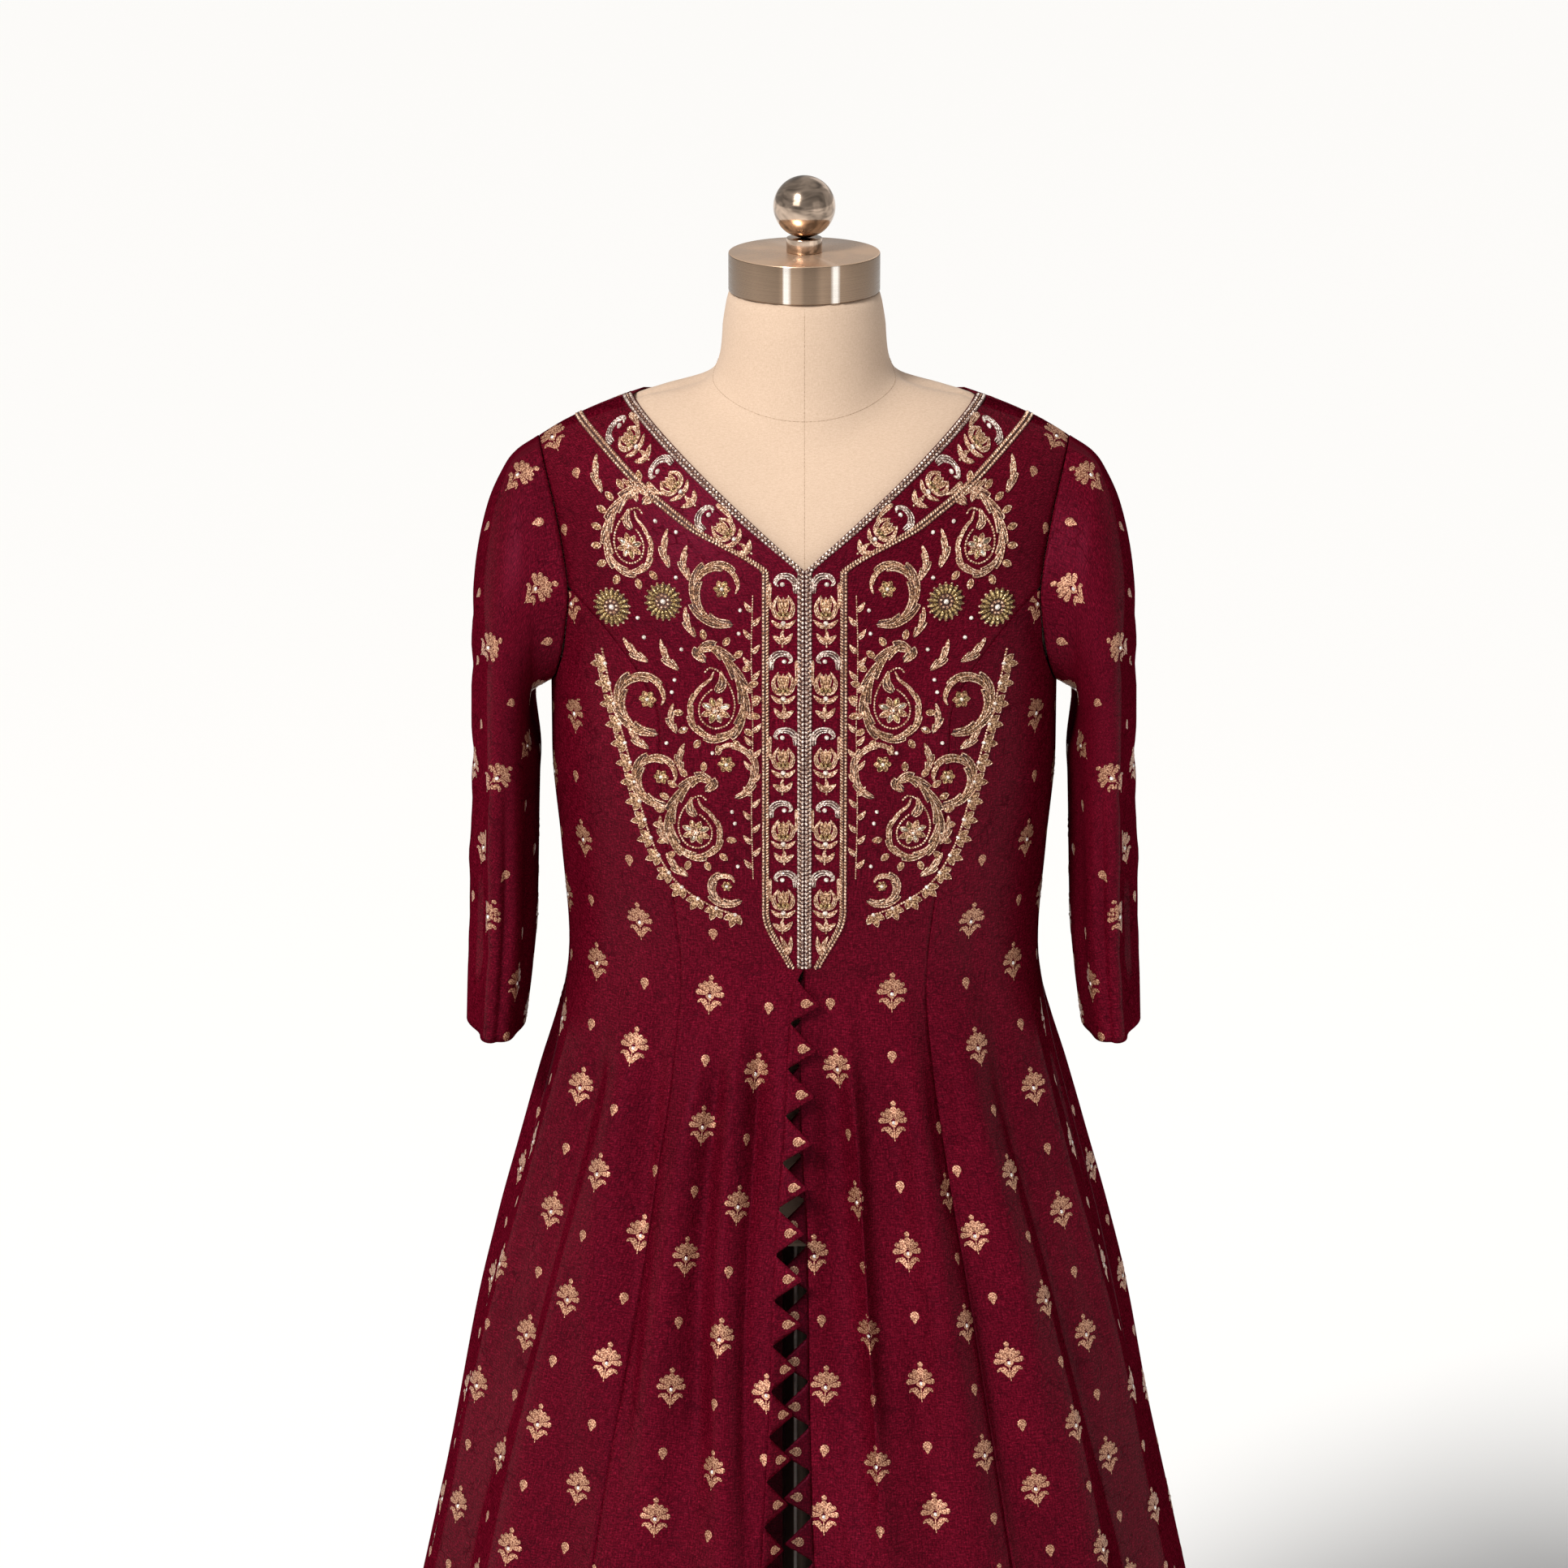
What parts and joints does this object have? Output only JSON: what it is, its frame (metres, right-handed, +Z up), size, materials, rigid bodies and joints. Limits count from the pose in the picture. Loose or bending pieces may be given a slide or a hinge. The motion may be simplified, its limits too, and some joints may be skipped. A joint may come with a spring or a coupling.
{
  "type": "anarkali dress on dress form",
  "caption": "Ankle-length princess-line dress, V neck, three-quarter sleeves, front slit with pointed edging, on a limbless dress form with neck cap, ball and round-based pole",
  "frame": {"origin": "on the underside of the stand's base, which is the floor", "axes": "+Z up, the garment's front faces -Y, the wearer's left is +X"},
  "size_m": [0.7436, 0.6852, 1.5561],
  "materials": {
    "silk": "maroon silk brocade with a low sheen",
    "metal_thread": "dull gold metal thread and beads",
    "linen": "plain woven beige linen",
    "brushed_steel": "brushed",
    "polished_steel": "polished"
  },
  "bodies": {
    "root": {"back_center": "silk", "back_side_left": "silk", "back_side_right": "silk", "border_braid_left": "metal_thread", "border_braid_right": "metal_thread", "cap_ball": "polished_steel", "cap_collar": "polished_steel", "edge_braid_left": "metal_thread", "edge_braid_right": "metal_thread", "form_body": "linen", "front_center_left": "silk", "front_center_right": "silk", "front_side_left": "silk", "front_side_right": "silk", "neck_cap": "brushed_steel", "rosette_1_left": "metal_thread", "rosette_1_right": "metal_thread", "rosette_2_left": "metal_thread", "rosette_2_right": "metal_thread", "sleeve_left": "silk", "sleeve_right": "silk", "slit_points_left": "silk", "slit_points_right": "silk", "stand_base": "brushed_steel", "stand_pole": "brushed_steel"}
  },
  "joints": []
}
